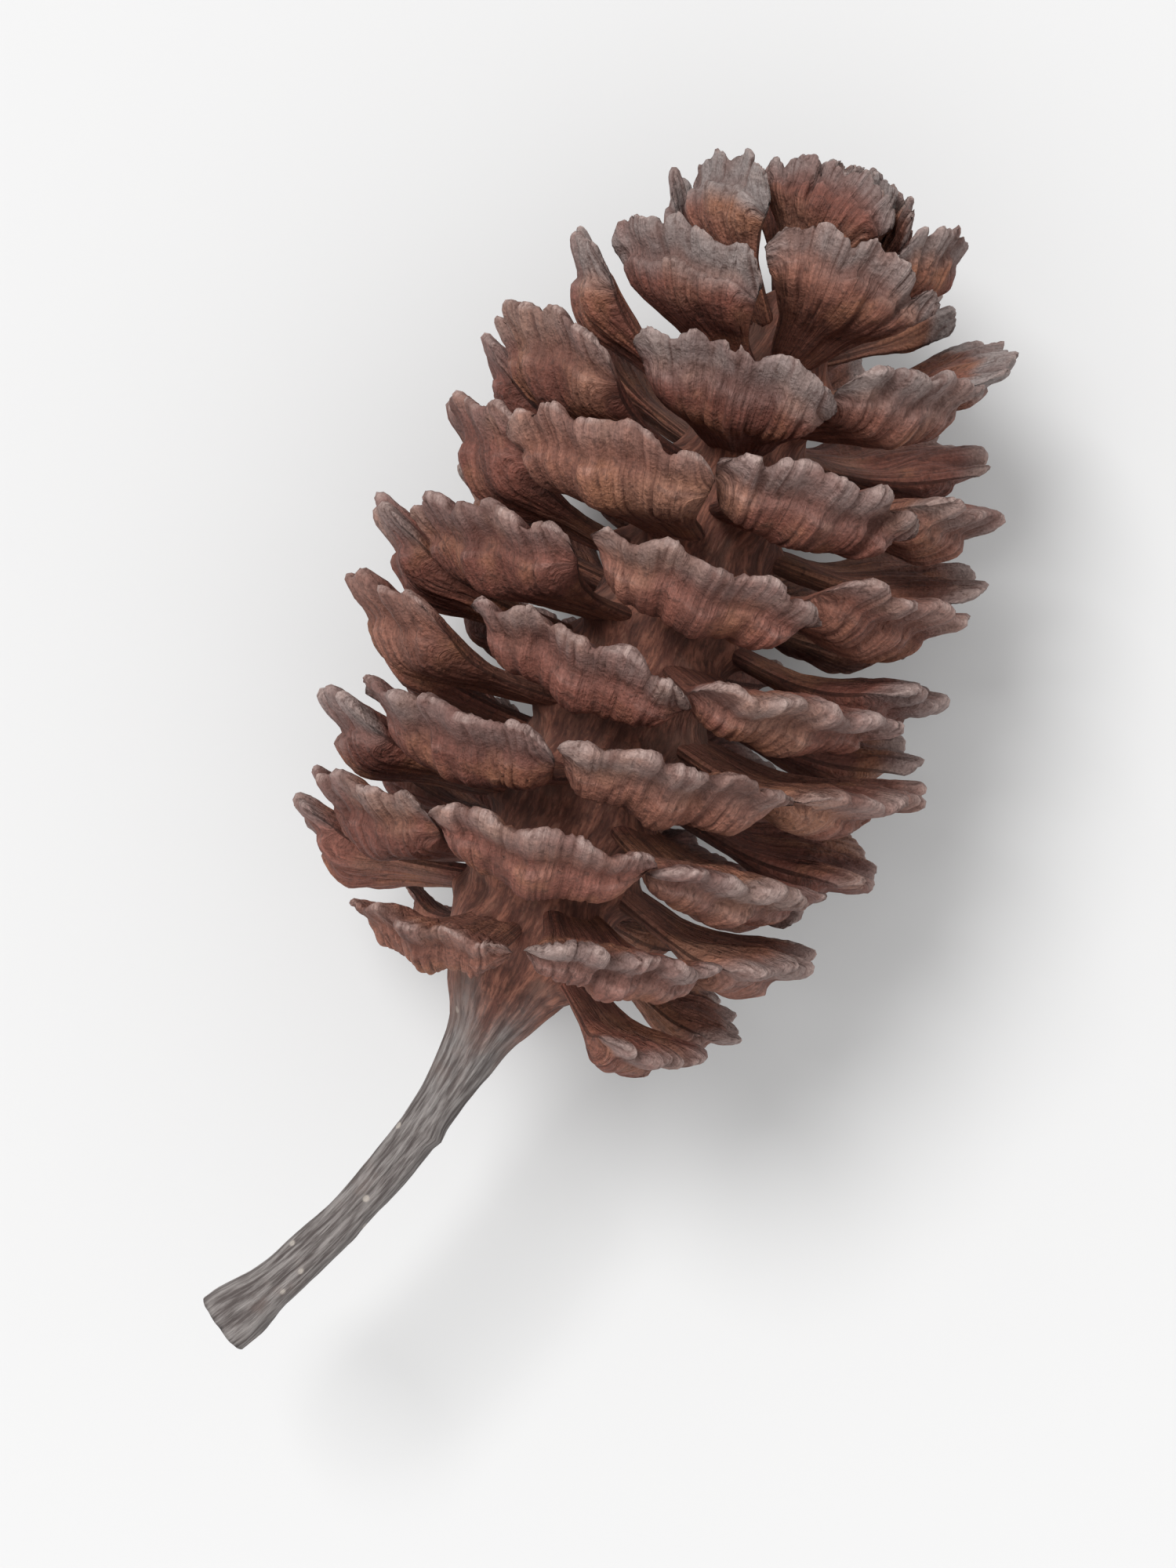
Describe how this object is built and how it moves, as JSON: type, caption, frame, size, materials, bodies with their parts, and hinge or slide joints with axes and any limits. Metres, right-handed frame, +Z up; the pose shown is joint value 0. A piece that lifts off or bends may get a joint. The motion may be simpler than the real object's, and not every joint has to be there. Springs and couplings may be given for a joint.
{
  "type": "alder cone",
  "caption": "Open, empty woody alder cone picked with its short curved stalk, lying on its side: a spiral of fan-shaped, lobed scales round a slender axis.",
  "frame": {"origin": "on the surface that the cone rests on, under the middle of its bounding box", "axes": "+Y along the cone from its stalk towards its tip, +Z up from the surface, +X across the cone"},
  "size_m": [0.0136, 0.0292, 0.0134],
  "materials": {
    "scale_wood": "dry matt wood, greyer and paler on the weathered rims and red-brown in the gaps",
    "stalk_bark": "dry grey-brown bark with fine length-wise ridges"
  },
  "bodies": {
    "root": {"stalk_and_axis": "stalk_bark", "scale_01": "scale_wood", "scale_02": "scale_wood", "scale_03": "scale_wood", "scale_04": "scale_wood", "scale_05": "scale_wood", "scale_06": "scale_wood", "scale_07": "scale_wood", "scale_08": "scale_wood", "scale_09": "scale_wood", "scale_10": "scale_wood", "scale_11": "scale_wood", "scale_12": "scale_wood", "scale_13": "scale_wood", "scale_14": "scale_wood", "scale_15": "scale_wood", "scale_16": "scale_wood", "scale_17": "scale_wood", "scale_18": "scale_wood", "scale_19": "scale_wood", "scale_20": "scale_wood", "scale_21": "scale_wood", "scale_22": "scale_wood", "scale_23": "scale_wood", "scale_24": "scale_wood", "scale_25": "scale_wood", "scale_26": "scale_wood", "scale_27": "scale_wood", "scale_28": "scale_wood", "scale_29": "scale_wood", "scale_30": "scale_wood", "scale_31": "scale_wood", "scale_32": "scale_wood", "scale_33": "scale_wood", "scale_34": "scale_wood", "scale_35": "scale_wood", "scale_36": "scale_wood", "scale_37": "scale_wood", "scale_38": "scale_wood", "scale_39": "scale_wood", "scale_40": "scale_wood", "scale_41": "scale_wood", "scale_42": "scale_wood", "scale_43": "scale_wood", "scale_44": "scale_wood", "scale_45": "scale_wood", "scale_46": "scale_wood", "scale_47": "scale_wood", "scale_48": "scale_wood", "scale_49": "scale_wood", "scale_50": "scale_wood", "scale_51": "scale_wood", "scale_52": "scale_wood", "scale_53": "scale_wood", "scale_54": "scale_wood", "scale_55": "scale_wood", "scale_56": "scale_wood", "scale_57": "scale_wood", "scale_58": "scale_wood"}
  },
  "joints": []
}
